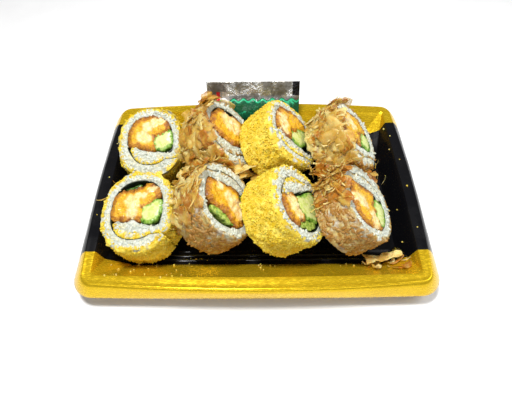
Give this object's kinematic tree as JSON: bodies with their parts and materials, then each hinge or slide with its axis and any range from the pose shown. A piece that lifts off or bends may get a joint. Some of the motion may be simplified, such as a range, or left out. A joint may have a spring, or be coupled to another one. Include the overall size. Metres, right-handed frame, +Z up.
{
  "type": "takeaway sushi tray",
  "caption": "Shallow rectangular takeaway tray with a raised rim, holding two rows of cut rolls with crumb or shaved coating and a flat sauce sachet standing at the back.",
  "frame": {"origin": "centre of the tray's footprint, on the surface it stands on", "axes": "+X along the tray's long side, to the right as seen from the front; +Y from the front to the back, where the sachet stands; +Z up"},
  "size_m": [0.2146, 0.1522, 0.0564],
  "materials": {
    "tray_plastic": "glossy black with brushed yellow gold ends",
    "rice_crumbed": "matt, white cooked rice with fine yellow crumbs outside",
    "rice_shaved": "satin, white cooked rice with thin brown fish shavings outside",
    "nori": "satin, dark green seaweed",
    "fried_chicken": "moist pale meat with an orange brown crust",
    "avocado": "moist, pale green",
    "leaf": "moist, dark green",
    "shaving": "thin and dry, slightly translucent",
    "sachet_film": "crinkled silver film with green and black fields"
  },
  "bodies": {
    "root": {"back_1_avocado": "avocado", "back_1_chicken": "fried_chicken", "back_1_nori": "nori", "back_1_rice": "rice_crumbed", "back_2_chicken": "fried_chicken", "back_2_leaf": "leaf", "back_2_nori": "nori", "back_2_rice": "rice_shaved", "back_3_avocado": "avocado", "back_3_chicken": "fried_chicken", "back_3_nori": "nori", "back_3_rice": "rice_crumbed", "back_4_avocado": "avocado", "back_4_chicken": "fried_chicken", "back_4_nori": "nori", "back_4_rice": "rice_shaved", "front_1_avocado": "avocado", "front_1_chicken": "fried_chicken", "front_1_leaf": "leaf", "front_1_nori": "nori", "front_1_rice": "rice_crumbed", "front_2_avocado": "avocado", "front_2_chicken": "fried_chicken", "front_2_leaf": "leaf", "front_2_nori": "nori", "front_2_rice": "rice_shaved", "front_3_avocado": "avocado", "front_3_chicken": "fried_chicken", "front_3_leaf": "leaf", "front_3_nori": "nori", "front_3_rice": "rice_crumbed", "front_4_avocado": "avocado", "front_4_chicken": "fried_chicken", "front_4_nori": "nori", "front_4_rice": "rice_shaved", "sachet": "sachet_film", "shaving_loose": "shaving", "tray": "tray_plastic"}
  },
  "joints": []
}
